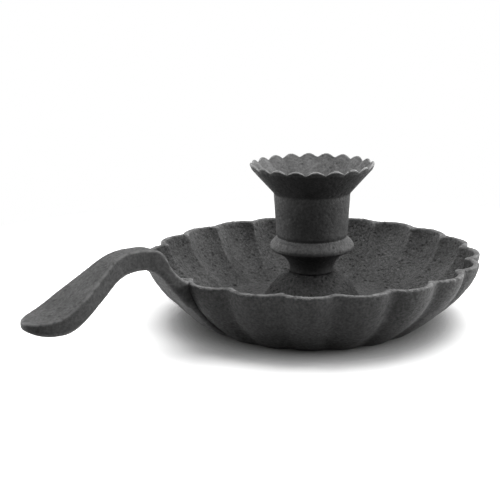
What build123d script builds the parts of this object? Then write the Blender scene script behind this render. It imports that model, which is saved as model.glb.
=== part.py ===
from build123d import *
import os
from math import atan2, degrees

os.makedirs("parts", exist_ok=True)

# All lengths in millimetres, angles in degrees.
# Z is up from the table, the dish's axis is Z, the handle points to -X.

# General
overrun = 2.0
thread_fit = 0.05
hole_clearance = 0.3

# Drip dish: fluted wall
lobe_count = 20
rim_radius = 65.0
rim_height = 26.9
base_radius = 42.1
wall_power = 1.76
level_shares = (0.0, 0.2, 0.4, 0.6, 0.8, 1.0)
rim_dip_share = 0.054
base_dip_share = 0.04
crease_round = 3.0
rim_wall = 2.6
floor_height = 4.0
floor_wall = 6.2
inner_dip_share = 0.075
ridge_radius = 1.0

# Drip dish: mound under the cup, hollow and foot ring below
seat_height = 18.8
mound_top_radius = 9.6
mound_shoulder_radius = 15.8
mound_shoulder_drop = 5.6
mound_foot_radius = 21.0
mound_wall = 4.5
web_thickness = 4.4
pocket_clearance = 1.4
pocket_depth = 3.4
hollow_top_radius = 11.5
recess_height = 1.2
foot_width = 6.1

# Candle cup: radii, and the rise of each stretch above the one below it
stem_radius = 8.7
waist_radius = 8.6
waist_rise = 1.3
neck_radius = 11.5
neck_rise = 5.3
collar_radius = 16.4
collar_rise = 2.7
collar_edge = 1.1
bead_swell = 0.5
barrel_bottom_radius = 13.9
shoulder_rise = 3.5
barrel_tuck = 0.9
tuck_rise = 1.6
tuck_swell = 0.3
barrel_top_radius = 14.8
barrel_length = 17.2
lip_radius = 23.5
flare_rise = 9.7
lip_edge = 2.2
bore_radius = 11.3
socket_floor_rise = 0.8
mouth_lift = 0.4

# Candle cup: petals of the lip
petal_count = 20
petal_turn = 4.5
petal_notch = 0.5
petal_dip = 1.0
groove_start = 0.35

# Cup screw with its washers
screw_radius = 3.0
screw_reach = 7.6
tap_depth = 8.6
head_radius = 5.4
head_height = 4.0
head_taper = 18.0
slot_width = 1.4
slot_depth = 1.6
plain_washer_radius = 6.2
plain_washer_thickness = 1.4
spring_washer_radius = 5.2
spring_washer_thickness = 1.6
spring_washer_split = 0.8

# Handle: runs measured out from the rim, rises and drops from the rim's height
root_run = 1.5
root_rise = 1.9
strap_run = 6.0
strap_rise = 7.4
root_half_width = 5.0
neck_run = 20.0
neck_half_width = 3.5
neck_thickness = 7.4
arch_run = 20.8
arch_rise = 14.5
under_arch_run = 17.5
tip_run = 60.4
tip_drop = 2.0
tip_edge = 0.1
blade_half_width = 8.7
blade_round = 12.0
belly_back = 9.4
belly_drop = 6.9
top_run_shares = (0.32, 0.615)
top_drop_shares = (0.307, 0.755)
belly_run_shares = (0.367, 0.731)
belly_drop_shares = (0.264, 0.793)
rim_bulge = 6.2
tail_bulge = 1.9
tail_share = 0.56
tail_end_share = 0.08
tail_sink = 0.8
bite = 2.4
belly_round = 1.7
top_round = 0.7

# Handle screws, from inside the dish into the tail
handle_screw_radius = 1.75
handle_screw_drops = (4.2, 10.0)
handle_screw_reaches = (4.8, 4.4)
handle_drill = 0.6
handle_head_radius = 2.9
handle_head_height = 2.2
handle_head_taper = 25.0
handle_slot_width = 0.9
handle_slot_depth = 0.9
spot_depth = 1.4

# Heights up the cup
waist_height = seat_height + waist_rise
neck_height = waist_height + neck_rise
collar_height = neck_height + collar_rise + collar_edge
barrel_root_height = collar_height + shoulder_rise
tuck_height = barrel_root_height + tuck_rise
barrel_root_radius = barrel_bottom_radius - barrel_tuck
barrel_top_height = barrel_root_height + barrel_length
lip_height = barrel_top_height + flare_rise + lip_edge
socket_floor_height = collar_height + socket_floor_rise
mouth_height = barrel_top_height + mouth_lift

# Hollow and screw stack under the mound
web_height = seat_height - web_thickness
hollow_height = web_height - pocket_depth
pocket_radius = plain_washer_radius + pocket_clearance
foot_inner_radius = base_radius - foot_width
spring_height = web_height - plain_washer_thickness
head_top = spring_height - spring_washer_thickness

# Reaches and heights along the handle
neck_reach = rim_radius + neck_run
arch_reach = rim_radius + arch_run
under_arch_reach = rim_radius + under_arch_run
tip_reach = rim_radius + tip_run
blade_reach = tip_reach - blade_round
belly_reach = tip_reach - belly_back
arch_height = rim_height + arch_rise
under_arch_height = arch_height - neck_thickness
tip_height = rim_height - tip_drop
tip_thickness = belly_round + top_round + tip_edge
belly_height = rim_height - belly_drop
tail_height = rim_height * tail_share
tail_end_height = rim_height * tail_end_share
handle_screw_heights = tuple(rim_height - drop for drop in handle_screw_drops)


def bulge(share):
    return 1 - (1 - share) ** wall_power


def wall_radius(share):
    return base_radius + (rim_radius - base_radius) * bulge(share)


def dip_share(share):
    return base_dip_share + (rim_dip_share - base_dip_share) * share


def crease_radius(share):
    return wall_radius(share) * (1 - dip_share(share))


def floor_share(height):
    return (height - floor_height) / (rim_height - floor_height)


def inner_radius(share):
    floor_radius = wall_radius(floor_height / rim_height) - floor_wall
    return floor_radius + (rim_radius - rim_wall - floor_radius) * bulge(share)


def ridge_reach(share):
    return inner_radius(share) * (1 - inner_dip_share)


def wall_slope(share):
    return (rim_radius - base_radius) * wall_power * (1 - share) ** (wall_power - 1) / rim_height


def handle_seat(height):
    # Flat seat on the inner ridge behind the handle, square to the wall and facing out
    reach = ridge_reach(floor_share(height)) + spot_depth
    return Plane((-reach, 0, height), x_dir=(0, 1, 0), z_dir=(-1, 0, -wall_slope(height / rim_height)))


def polar(radius, turns):
    return Vector(radius, 0).rotate(Axis.Z, 360 * turns)


def lobe(count, index, crest, notch):
    start = index / count
    end = (index + 1) / count
    return polar(notch, start), polar(crest, (start + end) / 2), polar(notch, end)


# Outside of the fluted dish, still solid
with BuildPart() as dish_blank:
    for share in level_shares:
        with BuildSketch(Plane.XY.offset(rim_height * share)) as outline:
            with BuildLine():
                for index in range(lobe_count):
                    ThreePointArc(*lobe(lobe_count, index, wall_radius(share), crease_radius(share)))
            make_face()
            fillet(outline.vertices(), crease_round)
    loft()

# Drip dish
with BuildPart() as drip_dish:
    add(dish_blank.part)
    for share in level_shares:
        with BuildSketch(Plane.XY.offset(floor_height + (rim_height - floor_height) * share)) as bowl:
            with BuildLine():
                for index in range(lobe_count):
                    ThreePointArc(*lobe(lobe_count, index, inner_radius(share), ridge_reach(share)))
            make_face()
            fillet(bowl.vertices(), ridge_radius)
    loft(mode=Mode.SUBTRACT)
    # Mound that carries the cup
    with BuildSketch(Plane.XZ):
        with BuildLine():
            Polyline((mound_foot_radius, floor_height), (mound_foot_radius, recess_height),
                     (0, recess_height), (0, seat_height), (mound_top_radius, seat_height))
            Spline((mound_top_radius, seat_height),
                   (mound_shoulder_radius, seat_height - mound_shoulder_drop),
                   (mound_foot_radius, floor_height), tangents=((1, -0.6), (0.4, -1)))
        make_face()
    revolve(axis=Axis.Z)
    # Hollow underside, leaving a foot ring
    with BuildSketch(Plane.XZ):
        with BuildLine():
            Polyline((0, web_height), (pocket_radius, web_height), (pocket_radius, hollow_height),
                     (hollow_top_radius, hollow_height), (mound_foot_radius - mound_wall, recess_height),
                     (foot_inner_radius, recess_height), (foot_inner_radius, -overrun), (0, -overrun),
                     close=True)
        make_face()
    revolve(axis=Axis.Z, mode=Mode.SUBTRACT)
    # Hole for the cup's screw
    with BuildSketch(Plane.XY):
        Circle(screw_radius + hole_clearance)
    extrude(amount=seat_height + overrun, mode=Mode.SUBTRACT)
    # Spot faces and holes for the handle's screws
    for height in handle_screw_heights:
        with BuildSketch(handle_seat(height)):
            Circle(handle_screw_radius + hole_clearance)
        extrude(amount=handle_screw_reaches[0], mode=Mode.SUBTRACT)
        with BuildSketch(handle_seat(height)):
            Circle(handle_head_radius + hole_clearance)
        extrude(amount=-handle_head_height - overrun, mode=Mode.SUBTRACT)

drip_dish.part.label = "drip_dish"
export_step(drip_dish.part, "parts/drip_dish.step")

# Candle cup: turned profile, funnel with rounded petals, socket
with BuildPart() as candle_cup:
    with BuildSketch(Plane.XZ):
        with BuildLine():
            Line((0, seat_height), (stem_radius, seat_height))
            Spline((stem_radius, seat_height), (waist_radius, waist_height), (neck_radius, neck_height),
                   tangents=((0, 1), (1, 1)))
            Polyline((neck_radius, neck_height), (collar_radius, collar_height - collar_edge),
                     (collar_radius, collar_height))
            SagittaArc((collar_radius, collar_height), (barrel_root_radius, barrel_root_height),
                       -bead_swell)
            SagittaArc((barrel_root_radius, barrel_root_height), (barrel_bottom_radius, tuck_height),
                       -tuck_swell)
            Polyline((barrel_bottom_radius, tuck_height), (barrel_top_radius, barrel_top_height),
                     (lip_radius, lip_height - lip_edge), (lip_radius, lip_height), (0, lip_height),
                     (0, seat_height))
        make_face()
    revolve(axis=Axis.Z)
    with BuildSketch(Plane.XY.rotated((0, 0, petal_turn))):
        with BuildLine():
            for index in range(petal_count):
                ThreePointArc(*lobe(petal_count, index, lip_radius, lip_radius - petal_notch))
        make_face()
    extrude(amount=lip_height + overrun, mode=Mode.INTERSECT)
    # Funnel: each petal swells towards the middle, with a groove on either side
    groove_floor_radius = bore_radius + groove_start
    cut_height = lip_height + overrun
    petal_growth = (cut_height - mouth_height) / (lip_height - mouth_height)
    groove_growth = (cut_height - mouth_height) / (lip_height - petal_dip - mouth_height)
    petal_reach = bore_radius + (lip_radius - bore_radius) * petal_growth
    groove_reach = groove_floor_radius + (lip_radius - groove_floor_radius) * groove_growth
    with BuildSketch(Plane.XY.offset(mouth_height).rotated((0, 0, petal_turn))):
        with BuildLine():
            for index in range(petal_count):
                ThreePointArc(*lobe(petal_count, index, bore_radius, groove_floor_radius))
        make_face()
    with BuildSketch(Plane.XY.offset(cut_height).rotated((0, 0, petal_turn))):
        with BuildLine():
            for index in range(petal_count):
                ThreePointArc(*lobe(petal_count, index, petal_reach, groove_reach))
        make_face()
    loft(ruled=True, mode=Mode.SUBTRACT)
    # Socket for the candle
    with BuildSketch(Plane.XY.offset(socket_floor_height)):
        Circle(bore_radius)
    extrude(amount=cut_height - socket_floor_height, mode=Mode.SUBTRACT)
    # Tapped hole for the screw from below
    with BuildSketch(Plane.XY.offset(seat_height)):
        Circle(screw_radius + thread_fit)
    extrude(amount=tap_depth, mode=Mode.SUBTRACT)

candle_cup.part.label = "candle_cup"
export_step(candle_cup.part, "parts/candle_cup.step")

# Plain washer under the web of the mound
with BuildPart() as plain_washer:
    with BuildSketch(Plane.XY.offset(web_height)):
        Circle(plain_washer_radius)
        Circle(screw_radius + hole_clearance, mode=Mode.SUBTRACT)
    extrude(amount=-plain_washer_thickness)

plain_washer.part.label = "plain_washer"
export_step(plain_washer.part, "parts/plain_washer.step")

# Split spring washer
with BuildPart() as spring_washer:
    with BuildSketch(Plane.XY.offset(spring_height)):
        Circle(spring_washer_radius)
        Circle(screw_radius + hole_clearance, mode=Mode.SUBTRACT)
    extrude(amount=-spring_washer_thickness)
    with Locations((spring_washer_radius, 0, spring_height)):
        Box(2 * spring_washer_radius, spring_washer_split, 2 * spring_washer_radius, mode=Mode.SUBTRACT)

spring_washer.part.label = "spring_washer"
export_step(spring_washer.part, "parts/spring_washer.step")

# Cup screw, driven from below
with BuildPart() as cup_screw:
    with BuildSketch(Plane.XY.offset(head_top)):
        Circle(head_radius)
    extrude(amount=-head_height, taper=head_taper)
    with BuildSketch(Plane.XY.offset(head_top)):
        Circle(screw_radius)
    extrude(amount=seat_height + screw_reach - head_top)
    chamfer(cup_screw.edges().group_by(Axis.Z)[-1], slot_width / 2)
    with Locations((0, 0, head_top - head_height)):
        Box(2 * head_radius + overrun, slot_width, 2 * slot_depth, mode=Mode.SUBTRACT)

cup_screw.part.label = "cup_screw"
export_step(cup_screw.part, "parts/cup_screw.step")

# Handle: side outline and plan outline crossed, edges rounded, seated on the fluted wall
top_points = [(-arch_reach - run * (tip_reach - arch_reach), arch_height - drop * (arch_height - tip_height))
              for run, drop in zip(top_run_shares, top_drop_shares)]
belly_points = [(-under_arch_reach - run * (belly_reach - under_arch_reach),
                 under_arch_height - drop * (under_arch_height - belly_height))
                for run, drop in zip(belly_run_shares, belly_drop_shares)]
seat_shares = tuple(tail_end_share + (1 - tail_end_share) * share for share in level_shares)
with BuildPart() as handle:
    with BuildSketch(Plane.XZ):
        with BuildLine():
            Line((bite - crease_radius(1), rim_height), (-crease_radius(1), rim_height))
            Spline((-crease_radius(1), rim_height), (-rim_radius - root_run, rim_height + root_rise),
                   (-rim_radius - strap_run, rim_height + strap_rise), (-arch_reach, arch_height),
                   tangents=((-1, 0), (-1, 0)))
            Spline((-arch_reach, arch_height), *top_points, (-tip_reach, tip_height),
                   tangents=((-1, 0), (-1, 0)))
            Line((-tip_reach, tip_height), (-tip_reach, tip_height - tip_thickness))
            Spline((-tip_reach, tip_height - tip_thickness), (-belly_reach, belly_height),
                   tangents=((1, -1), (1, 0)))
            Spline((-belly_reach, belly_height), *reversed(belly_points),
                   (-under_arch_reach, under_arch_height), tangents=((1, 0), (1, 0)))
            Spline((-under_arch_reach, under_arch_height), (-rim_radius - rim_bulge, rim_height),
                   (-wall_radius(tail_share) - tail_bulge, tail_height),
                   (tail_sink - crease_radius(tail_end_share), tail_end_height),
                   tangents=((1, 0), (1, -0.2)))
            Line((tail_sink - crease_radius(tail_end_share), tail_end_height),
                 (bite - crease_radius(tail_end_share), tail_end_height))
            Spline(*[(bite - crease_radius(share), rim_height * share) for share in seat_shares])
        make_face()
    extrude(amount=blade_half_width + overrun, both=True)
    with BuildSketch(Plane.XY):
        with BuildLine() as plan:
            Line((0, root_half_width), (-rim_radius, root_half_width))
            Spline((-rim_radius, root_half_width), (-neck_reach, neck_half_width),
                   tangents=((-1, 0), (-1, 0)))
            Spline((-neck_reach, neck_half_width), (-blade_reach, blade_half_width),
                   tangents=((-1, 0), (-1, 0)))
            EllipticalCenterArc((-blade_reach, 0), tip_reach - blade_reach, blade_half_width,
                                start_angle=90, arc_size=90)
            mirror(about=Plane.XZ)
            Line((0, root_half_width), (0, -root_half_width))
        make_face()
    extrude(amount=arch_height + overrun, mode=Mode.INTERSECT)
    for upward, radius in ((False, belly_round), (True, top_round)):
        outside = handle.faces().filter_by(lambda face: face.center().X < -rim_radius)
        sides = outside.filter_by(lambda face: abs(face.normal_at().Z) < 0.01).edges()
        faces = outside.filter_by(lambda face: abs(face.normal_at().Z) > 0.3)
        facing = faces.filter_by(lambda face: (face.normal_at().Z > 0) == upward).edges()
        fillet([edge for edge in sides if edge in facing], radius)
    add(dish_blank.part, mode=Mode.SUBTRACT)
    for height, reach in zip(handle_screw_heights, handle_screw_reaches):
        with BuildSketch(handle_seat(height)):
            Circle(handle_screw_radius + thread_fit)
        extrude(amount=reach + handle_drill, mode=Mode.SUBTRACT)

handle.part.label = "handle"
export_step(handle.part, "parts/handle.step")

# Handle screws with round slotted heads, seated on the spot faces
handle_screw_names = ("handle_screw_upper", "handle_screw_lower")
for name, height, reach in zip(handle_screw_names, handle_screw_heights, handle_screw_reaches):
    with BuildPart() as handle_screw:
        with BuildSketch(handle_seat(height)):
            Circle(handle_screw_radius)
        extrude(amount=reach)
        with BuildSketch(handle_seat(height)):
            Circle(handle_head_radius)
        extrude(amount=-handle_head_height, taper=handle_head_taper)
        with BuildSketch(handle_seat(height).offset(-handle_head_height)):
            Rectangle(2 * handle_head_radius, handle_slot_width)
        extrude(amount=handle_slot_depth, mode=Mode.SUBTRACT)

    handle_screw.part.label = name
    export_step(handle_screw.part, f"parts/{name}.step")
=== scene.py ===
import bmesh
import bpy
import math
import numpy as np
from mathutils import Matrix, Vector


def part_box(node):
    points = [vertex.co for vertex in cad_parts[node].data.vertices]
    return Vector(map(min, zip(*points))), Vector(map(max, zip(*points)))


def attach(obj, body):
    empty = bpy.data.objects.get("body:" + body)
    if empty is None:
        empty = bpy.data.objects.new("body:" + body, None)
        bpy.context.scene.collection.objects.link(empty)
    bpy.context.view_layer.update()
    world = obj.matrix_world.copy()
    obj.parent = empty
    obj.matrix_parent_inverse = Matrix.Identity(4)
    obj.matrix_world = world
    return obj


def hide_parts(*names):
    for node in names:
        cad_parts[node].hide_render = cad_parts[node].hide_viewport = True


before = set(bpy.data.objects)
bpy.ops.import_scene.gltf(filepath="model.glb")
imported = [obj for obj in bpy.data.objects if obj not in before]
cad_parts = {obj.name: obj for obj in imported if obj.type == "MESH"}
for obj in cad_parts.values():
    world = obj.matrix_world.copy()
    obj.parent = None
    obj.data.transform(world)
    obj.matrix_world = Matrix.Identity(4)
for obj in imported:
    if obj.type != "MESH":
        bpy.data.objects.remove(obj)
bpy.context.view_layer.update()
rim_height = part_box("drip_dish")[1].z
dish_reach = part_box("drip_dish")[1].x
cup_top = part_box("candle_cup")[1].z

# Camera, fitted to the outlines in the photograph: metres, radians and pixels
CAMERA_DISTANCE = 0.38108
CAMERA_OVER_RIM = 0.09476
CAMERA_PITCH = 0.2434
CAMERA_YAW = -0.0634
CAMERA_ROLL = -0.0125
CAMERA_FOCUS_PX = 1003.0
CAMERA_NEAR = 0.01
IMAGE_PX = 500.0
HANDLE_TURN = math.radians(44.0)
SENSOR_MM = 36.0

# Marks of the casting in its material: marks to the metre, detail and roughness of the noise
PATCH_SCALE = 60.0
LUMP_SCALE = 420.0
PIT_SCALE = 380.0
SAND_SCALE = 1100.0
SAND_DETAIL = 3.0
SAND_ROUGH = 0.65
NOISE_DETAIL = 4.0
NOISE_ROUGH = 0.55
GRAIN_DEPTH = 0.0005

# Stretches of the marks' values that show, from nothing to full
PATCH_RANGE = (0.35, 0.65)
SAND_RANGE = (0.36, 0.66)
LUMP_RANGE = (0.36, 0.64)
PIT_RANGE = (0.32, 0.1)
PITTED_PATCHES = (0.56, 0.44)
WORN_LUMPS = (0.3, 0.5)
GLOSS_RANGE = (0.3, 0.7)

# Stretches of a face's upward slope, from minus one for down to one for up
UPWARD_RANGE = (-0.05, 0.25)
# The next two stretches paint faces that look down and faces that look up darker or lighter, as painted
# shade and painted light
PAINTED_UNDER_RANGE = (-0.6, -0.1)
PAINTED_TOP_RANGE = (0.1, 0.6)
RUBBED_RANGE = (0.0, 0.4)

# Iron: strength of its marks, gloss, and the reach of the painted shade in its corners in metres
MOTTLE = (0.9, 1.1)
PIT_DARK = 0.45
IRON_ROUGHNESS = (0.7, 0.5)
IRON_SPECULAR = 0.12
SAND_RELIEF = 0.6
PIT_RELIEF = 0.5
PAINTED_SHADE_REACH = 0.012
PAINTED_SHADE_RANGE = (0.25, 0.85)
PAINTED_SHADE_SAMPLES = 6

# Steel of the screws and washers
STEEL_DARK_SHARE = 0.75
STEEL_BUMP = 0.2
STEEL_GRAIN_DEPTH = GRAIN_DEPTH / 4

# Skins of the castings: spacing of the waves and of the grain in metres, smoothing of the bends
WAVE_SIZE = 0.006
GRAIN_SIZE = 0.0016
BEND_STEPS = 4
GRID_NEIGHBOURS = 4

# Bead round the petals of the cup's lip: metres, and shares of the bead's own radius
PETAL_COUNT = 20
PETAL_TURN = math.radians(4.5)
PETAL_NOTCH = 0.0005
PETAL_DIP = 0.00144
BEAD_RADIUS = 0.0007
BEAD_WAIST = 0.65
BEAD_OVERHANG = 0.3
BEAD_DROP = 1.2
BEAD_STEPS = 24
BEAD_SIDES = 12

# Grooves that run from the notches down the cup's funnel: metres, and the slope of the faces that have them
FLUTE_DEPTH = 0.0008
FLUTE_START = 0.0115
FLUTE_FACING = 0.3

# Tail of the handle: how far it lies into the dish's wall, and the height over which that begins
TAIL_SINK = 0.001
TAIL_FADE = 0.004

# Studio: strength of the surround, tone of the floor as seen and as a bounce light, reach of the shadow
# painted on it
SURROUND_LIGHT = 0.12
FLOOR_SIZE = 8.0
FLOOR_TONE = 1.55
FLOOR_BOUNCE = 0.22
FLOOR_LIT_REACH = (0.13, 0.24)
PAINTED_SHADOW_REACH = 0.016
PAINTED_SHADOW_RANGE = (0.05, 0.7)
PAINTED_SHADOW_DARK = 0.1
PAINTED_SHADOW_SAMPLES = 8


def put(tree, target, value):
    # A number or colour is set on the socket, the output of another node is linked to it
    if isinstance(value, bpy.types.NodeSocket):
        tree.links.new(value, target)
    else:
        target.default_value = value


def add(tree, kind, inputs, **settings):
    node = tree.nodes.new(kind)
    for name, value in settings.items():
        setattr(node, name, value)
    for name, value in inputs.items():
        put(tree, node.inputs[name], value)
    return node


def noise(tree, where, scale, detail=NOISE_DETAIL, rough=NOISE_ROUGH):
    inputs = {"Vector": where, "Scale": scale, "Detail": detail, "Roughness": rough}
    return add(tree, "ShaderNodeTexNoise", inputs).outputs["Fac"]


def remap(tree, value, low, high, to_low=0.0, to_high=1.0):
    inputs = {"Value": value, "From Min": low, "From Max": high, "To Min": to_low, "To Max": to_high}
    return add(tree, "ShaderNodeMapRange", inputs).outputs["Result"]


def maths(tree, operation, a, b):
    return add(tree, "ShaderNodeMath", {0: a, 1: b}, operation=operation).outputs[0]


def blend(tree, share, a, b, kind="MIX"):
    inputs = {"Fac": share, "Color1": a, "Color2": b}
    return add(tree, "ShaderNodeMixRGB", inputs, blend_type=kind).outputs[0]


def ao_for_painted_shade(tree, reach, samples):
    # One where nothing is near, less in corners; used to paint shade and shadow
    inputs = {"Distance": reach}
    return add(tree, "ShaderNodeAmbientOcclusion", inputs, samples=samples).outputs["AO"]


def grey(level):
    return (level, level, level, 1.0)


def new_material(name):
    material = bpy.data.materials.new(name)
    material.use_nodes = True
    tree = material.node_tree
    where = add(tree, "ShaderNodeTexCoord", {}).outputs["Object"]
    return material, tree, tree.nodes["Principled BSDF"], where


def cast_iron(name, node, dark, light, worn_highlight_grey, edges, grain, speck, painted_corner_shade, painted_slope_light, painted_shade_by_height):
    # The grey runs from dark to light and is worn on the edges, partly as a painted highlight, whose bends
    # are given in one over metres; it also carries painted light and shade by slope, height and corners
    low, high = (corner.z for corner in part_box(node))
    material, tree, shader, where = new_material(name)
    geometry = add(tree, "ShaderNodeNewGeometry", {})
    facing = add(tree, "ShaderNodeSeparateXYZ", {"Vector": geometry.outputs["True Normal"]}).outputs["Z"]
    upward = remap(tree, facing, *UPWARD_RANGE)

    # Sand grain, lumps and pits left by the mould
    sand = noise(tree, where, SAND_SCALE, SAND_DETAIL, SAND_ROUGH)
    lumps = noise(tree, where, LUMP_SCALE)
    pit_cells = add(tree, "ShaderNodeTexVoronoi", {"Vector": where, "Scale": PIT_SCALE}).outputs["Distance"]
    pits = remap(tree, pit_cells, *PIT_RANGE)

    # Grey that drifts over the casting, speckled by the grain and darker in the pits, with painted shade in
    # the corners
    patches = noise(tree, where, PATCH_SCALE)
    drift = blend(tree, remap(tree, patches, *PATCH_RANGE), grey(dark), grey(light))
    speckle = remap(tree, sand, *SAND_RANGE, 1.0 - speck, 1.0 + speck)
    mottle = remap(tree, lumps, *LUMP_RANGE, *MOTTLE)
    painted_under_light, painted_top_light = painted_slope_light
    level = add(tree, "ShaderNodeSeparateXYZ", {"Vector": where}).outputs["Z"]
    pitted = maths(tree, "MULTIPLY", upward, remap(tree, patches, *PITTED_PATCHES))
    pit_dark = maths(tree, "MULTIPLY", maths(tree, "MULTIPLY", pits, pitted), PIT_DARK)
    painted_shade_ao = ao_for_painted_shade(tree, PAINTED_SHADE_REACH, PAINTED_SHADE_SAMPLES)
    shade = maths(tree, "MULTIPLY", speckle, mottle)
    # Painted light and shade: faces that look down and faces that look up are made darker or lighter by
    # their slope
    shade = maths(tree, "MULTIPLY", shade, remap(tree, facing, *PAINTED_UNDER_RANGE, painted_under_light, 1.0))
    shade = maths(tree, "MULTIPLY", shade, remap(tree, facing, *PAINTED_TOP_RANGE, 1.0, painted_top_light))
    # Painted shade: darker towards the bottom of the part
    shade = maths(tree, "MULTIPLY", shade, remap(tree, level, low, high, *painted_shade_by_height))
    shade = maths(tree, "MULTIPLY", shade, maths(tree, "SUBTRACT", 1.0, pit_dark))
    # Painted shade: darker in corners and creases, where little open space is near
    shade = maths(tree, "MULTIPLY", shade, remap(tree, painted_shade_ao, *PAINTED_SHADE_RANGE, painted_corner_shade, 1.0))
    iron = blend(tree, 1.0, drift, shade, "MULTIPLY")

    # Upper edges rubbed paler than the rest: partly wear and partly a painted highlight
    bend = add(tree, "ShaderNodeAttribute", {}, attribute_name="bend").outputs["Fac"]
    edge = maths(tree, "MULTIPLY", remap(tree, bend, *edges), remap(tree, facing, *RUBBED_RANGE))
    wear_and_highlight = maths(tree, "MULTIPLY", edge, remap(tree, lumps, *WORN_LUMPS))
    put(tree, shader.inputs["Base Color"], blend(tree, wear_and_highlight, iron, grey(worn_highlight_grey)))

    put(tree, shader.inputs["Roughness"], remap(tree, sand, *GLOSS_RANGE, *IRON_ROUGHNESS))
    put(tree, shader.inputs["Specular IOR Level"], IRON_SPECULAR)

    relief = maths(tree, "ADD", maths(tree, "MULTIPLY", sand, SAND_RELIEF), lumps)
    relief = maths(tree, "SUBTRACT", relief, maths(tree, "MULTIPLY", pits, PIT_RELIEF))
    strength = remap(tree, upward, 0.0, 1.0, *grain)
    inputs = {"Strength": strength, "Distance": GRAIN_DEPTH, "Height": relief}
    put(tree, shader.inputs["Normal"], add(tree, "ShaderNodeBump", inputs).outputs["Normal"])
    return material


def turned_steel(name, tone, roughness):
    material, tree, shader, where = new_material(name)
    fine = noise(tree, where, SAND_SCALE)
    share = remap(tree, fine, *GLOSS_RANGE)
    put(tree, shader.inputs["Base Color"], blend(tree, share, grey(STEEL_DARK_SHARE * tone), grey(tone)))
    put(tree, shader.inputs["Roughness"], remap(tree, fine, *GLOSS_RANGE, *roughness))
    put(tree, shader.inputs["Metallic"], 1.0)
    inputs = {"Strength": STEEL_BUMP, "Distance": STEEL_GRAIN_DEPTH, "Height": fine}
    put(tree, shader.inputs["Normal"], add(tree, "ShaderNodeBump", inputs).outputs["Normal"])
    return material


iron_dish = cast_iron(
    "iron_dish", "drip_dish", dark=0.067, light=0.097, worn_highlight_grey=0.22, edges=(220.0, 520.0),
    grain=(0.3, 1.6), speck=0.32, painted_corner_shade=0.65, painted_slope_light=(1.0, 1.0), painted_shade_by_height=(1.0, 1.0))
iron_cup = cast_iron(
    "iron_cup", "candle_cup", dark=0.044, light=0.069, worn_highlight_grey=0.34, edges=(450.0, 1000.0),
    grain=(0.4, 0.7), speck=0.22, painted_corner_shade=0.75, painted_slope_light=(0.72, 2.75), painted_shade_by_height=(0.62, 1.0))
iron_handle = cast_iron(
    "iron_handle", "handle", dark=0.048, light=0.066, worn_highlight_grey=0.17, edges=(250.0, 700.0),
    grain=(0.25, 0.3), speck=0.22, painted_corner_shade=0.5, painted_slope_light=(2.4, 1.5), painted_shade_by_height=(1.0, 1.0))
steel = turned_steel("steel", tone=0.42, roughness=(0.3, 0.5))
black_steel = turned_steel("black_steel", tone=0.06, roughness=(0.4, 0.6))
finishes = {
    "cup_screw": steel,
    "plain_washer": steel,
    "spring_washer": steel,
    "handle_screw_upper": black_steel,
    "handle_screw_lower": black_steel,
}
for name, finish in finishes.items():
    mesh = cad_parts[name].data
    mesh.materials.clear()
    mesh.materials.append(finish)


def lip_bead(mesh):
    # A rolled edge that follows the petals, thick along each one and thin in the notch between two
    reach = max(math.hypot(v.co.x, v.co.y) for v in mesh.vertices)
    count = PETAL_COUNT * BEAD_STEPS
    build = bmesh.new()
    build.from_mesh(mesh)
    rings = []
    for step in range(count):
        angle = 2 * math.pi * step / count
        share = abs(math.sin(PETAL_COUNT * (angle - PETAL_TURN) / 2))
        thick = BEAD_RADIUS * (BEAD_WAIST + (1 - BEAD_WAIST) * share)
        out = reach - PETAL_NOTCH * (1 - share) - BEAD_OVERHANG * thick
        up = cup_top - PETAL_DIP * (1 - share) - BEAD_DROP * thick
        ring = []
        for side in range(BEAD_SIDES):
            around = 2 * math.pi * side / BEAD_SIDES
            radius = out + thick * math.cos(around)
            place = (radius * math.cos(angle), radius * math.sin(angle), up + thick * math.sin(around))
            ring.append(build.verts.new(place))
        rings.append(ring)
    for step, ring in enumerate(rings):
        after = rings[(step + 1) % count]
        for side in range(BEAD_SIDES):
            beyond = (side + 1) % BEAD_SIDES
            build.faces.new((ring[side], after[side], after[beyond], ring[beyond]))
    build.to_mesh(mesh)
    build.free()


def seated_tail(mesh):
    # The handle's tail lies a little way into the wall of the dish, so that no gap opens along it
    for vertex in mesh.vertices:
        reach = math.hypot(vertex.co.x, vertex.co.y)
        if reach < dish_reach:
            share = min(1.0, (rim_height - vertex.co.z) / TAIL_FADE)
            vertex.co.x *= 1.0 - max(0.0, share) * TAIL_SINK / reach
            vertex.co.y *= 1.0 - max(0.0, share) * TAIL_SINK / reach


def read_points(mesh):
    # Places and normals of a mesh's points, one row each
    places = np.empty(len(mesh.vertices) * 3, np.float32)
    mesh.vertices.foreach_get("co", places)
    normals = np.empty(len(mesh.vertices) * 3, np.float32)
    mesh.vertex_normals.foreach_get("vector", normals)
    return places.reshape(-1, 3), normals.reshape(-1, 3)


def fluted_funnel(mesh):
    # Grooves between the petals, deepest halfway from the lip down to the candle's bore
    places, normals = read_points(mesh)
    reach = np.hypot(places[:, 0], places[:, 1])
    angle = np.arctan2(places[:, 1], places[:, 0])
    share = np.abs(np.sin(PETAL_COUNT * (angle - PETAL_TURN) / 2))
    along = np.clip((reach - FLUTE_START) / (reach.max() - FLUTE_START), 0.0, 1.0)
    funnel_foot = cup_top - (reach.max() - FLUTE_START)
    inside = (places[:, 2] > funnel_foot) & (normals[:, 2] > FLUTE_FACING)
    groove = FLUTE_DEPTH * 4 * along * (1 - along) * (1 - share)
    places[:, 2] -= np.where(inside, groove, 0.0)
    mesh.vertices.foreach_set("co", places.ravel())
    mesh.update()


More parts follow.
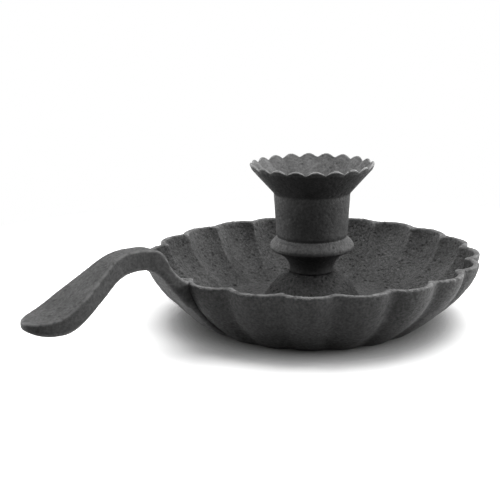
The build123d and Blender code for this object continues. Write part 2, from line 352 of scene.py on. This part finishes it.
def mark_bends(mesh, spacing):
    # How sharply the skin bends outward at each point, as one over a radius in metres
    places, normals = read_points(mesh)
    count = len(places)
    ends = np.empty(len(mesh.edges) * 2, np.int32)
    mesh.edges.foreach_get("vertices", ends)
    first, second = ends.reshape(-1, 2).T
    neighbours = np.bincount(ends, minlength=count)

    def around(values):
        total = np.bincount(first, values[second], count) + np.bincount(second, values[first], count)
        return total / neighbours

    proud = np.zeros(count)
    for axis in range(3):
        along = places[:, axis]
        proud += normals[:, axis] * (along - around(along))
    for _ in range(BEND_STEPS):
        proud = (proud + around(proud)) / 2
    bends = mesh.attributes.new("bend", "FLOAT", "POINT")
    bends.data.foreach_set("value", (GRID_NEIGHBOURS * proud / spacing**2).astype(np.float32))


def casting(node, finish, voxel, soft_steps, waves, grain, swell, shape=None, carve=None):
    # The solid's own shape with its edges rounded off and a sandy, slightly wavy skin, in metres
    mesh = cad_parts[node].data.copy()
    if shape:
        shape(mesh)
    piece = bpy.data.objects.new(node + "_casting", mesh)
    bpy.context.scene.collection.objects.link(piece)
    skin = piece.modifiers.new("skin", "REMESH")
    skin.mode = "VOXEL"
    skin.voxel_size = voxel
    soften = piece.modifiers.new("soften", "SMOOTH")
    soften.iterations = soft_steps
    for mark, size, depth in (("waves", WAVE_SIZE, waves), ("grain", GRAIN_SIZE, grain)):
        texture = bpy.data.textures.new(f"{node}_{mark}", "CLOUDS")
        texture.noise_scale = size
        rough = piece.modifiers.new(mark, "DISPLACE")
        rough.texture = texture
        rough.texture_coords = "LOCAL"
        rough.mid_level = 1.0
        rough.strength = depth
    fill = piece.modifiers.new("fill", "DISPLACE")
    fill.mid_level = 0.0
    fill.strength = swell
    graph = bpy.context.evaluated_depsgraph_get()
    piece.data = bpy.data.meshes.new_from_object(piece.evaluated_get(graph))
    piece.modifiers.clear()
    if carve:
        carve(piece.data)
    piece.data.shade_smooth()
    mark_bends(piece.data, voxel)
    piece.data.materials.clear()
    piece.data.materials.append(finish)
    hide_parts(node)
    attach(piece, "root")


casting("drip_dish", iron_dish, voxel=0.0008, soft_steps=2,
        waves=0.0004, grain=0.0002, swell=0.0001)
casting("candle_cup", iron_cup, voxel=0.00038, soft_steps=3,
        waves=0.0002, grain=0.00005, swell=0.0001, shape=lip_bead, carve=fluted_funnel)
casting("handle", iron_handle, voxel=0.0005, soft_steps=3,
        waves=0.0002, grain=0.0001, swell=0.00014, shape=seated_tail)


def shown(tree):
    # One for rays that show the surround itself, zero for rays that only carry its light
    path = add(tree, "ShaderNodeLightPath", {}).outputs
    seen = maths(tree, "MAXIMUM", path["Is Camera Ray"], path["Is Glossy Ray"])
    return maths(tree, "MAXIMUM", seen, path["Is Transmission Ray"])


def white_paper():
    # Takes the object's shadow and a painted shadow near the object, and is plain white further out
    material = bpy.data.materials.new("paper")
    material.use_nodes = True
    tree = material.node_tree
    tree.nodes.remove(tree.nodes["Principled BSDF"])
    place = add(tree, "ShaderNodeNewGeometry", {}).outputs["Position"]
    reach = add(tree, "ShaderNodeVectorMath", {0: place}, operation="LENGTH").outputs["Value"]
    far = remap(tree, reach, *FLOOR_LIT_REACH)
    painted_shade_ao = ao_for_painted_shade(tree, PAINTED_SHADOW_REACH, PAINTED_SHADOW_SAMPLES)
    # Painted shadow: the floor's colour darkens where the object is near
    painted_shadow_tone = remap(tree, painted_shade_ao, *PAINTED_SHADOW_RANGE, PAINTED_SHADOW_DARK, FLOOR_TONE)
    near_floor = add(tree, "ShaderNodeBsdfDiffuse", {"Color": painted_shadow_tone}).outputs[0]
    far_floor = add(tree, "ShaderNodeEmission", {"Strength": 1.0}).outputs[0]
    seen_floor = add(tree, "ShaderNodeMixShader", {"Fac": far, 1: near_floor, 2: far_floor}).outputs[0]
    bounce = add(tree, "ShaderNodeBsdfDiffuse", {"Color": grey(FLOOR_BOUNCE)}).outputs[0]
    either = add(tree, "ShaderNodeMixShader", {"Fac": shown(tree), 1: bounce, 2: seen_floor}).outputs[0]
    put(tree, tree.nodes["Material Output"].inputs["Surface"], either)
    return material


bpy.ops.mesh.primitive_plane_add(size=FLOOR_SIZE)
floor = bpy.context.object
floor.name = "floor"
floor.data.materials.append(white_paper())

# White surround, a soft grey light to the object
world = bpy.data.worlds.new("studio")
bpy.context.scene.world = world
world.use_nodes = True
background = world.node_tree.nodes["Background"]
put(world.node_tree, background.inputs["Color"], grey(1.0))
surround = remap(world.node_tree, shown(world.node_tree), 0.0, 1.0, SURROUND_LIGHT, 1.0)
put(world.node_tree, background.inputs["Strength"], surround)

view_turn = Matrix.Rotation(-HANDLE_TURN, 3, "Z")


def lamp(name, place, size, power):
    # The place is given as seen in the photograph: metres to the right, away from the camera and up
    data = bpy.data.lights.new(name, "AREA")
    data.shape = "RECTANGLE"
    data.size, data.size_y = size
    data.energy = power
    thing = bpy.data.objects.new(name, data)
    thing.location = view_turn @ Vector(place)
    aim = Vector((0, 0, rim_height))
    thing.rotation_euler = (aim - thing.location).to_track_quat("-Z", "Y").to_euler()
    bpy.context.scene.collection.objects.link(thing)


lamp("overhead", place=(0.03, 0.1, 0.78), size=(1.0, 0.8), power=7.3)
lamp("left_strip", place=(-0.58, 0.16, 0.08), size=(0.5, 0.14), power=3.0)
lamp("right_strip", place=(0.6, 0.08, 0.1), size=(0.5, 0.16), power=4.3)
lamp("front_fill", place=(0.1, -0.7, 0.45), size=(0.6, 0.4), power=0.9)


def camera_axes(pitch, yaw, roll):
    # Right, up and back of the camera as the columns of a matrix
    forward = Vector((math.sin(yaw) * math.cos(pitch), math.cos(yaw) * math.cos(pitch), -math.sin(pitch)))
    level_right = Vector((math.cos(yaw), -math.sin(yaw), 0))
    level_up = level_right.cross(forward)
    right = math.cos(roll) * level_right + math.sin(roll) * level_up
    up = math.cos(roll) * level_up - math.sin(roll) * level_right
    return Matrix((view_turn @ right, view_turn @ up, view_turn @ -forward)).transposed()


camera_data = bpy.data.cameras.new("camera")
camera_data.sensor_width = SENSOR_MM
camera_data.lens = SENSOR_MM * CAMERA_FOCUS_PX / IMAGE_PX
camera_data.clip_start = CAMERA_NEAR
camera = bpy.data.objects.new("camera", camera_data)
camera_place = view_turn @ Vector((0, -CAMERA_DISTANCE, rim_height + CAMERA_OVER_RIM))
axes = camera_axes(CAMERA_PITCH, CAMERA_YAW, CAMERA_ROLL)
camera.matrix_world = Matrix.Translation(camera_place) @ axes.to_4x4()
bpy.context.scene.collection.objects.link(camera)
bpy.context.scene.camera = camera
bpy.context.scene.view_settings.view_transform = "Standard"
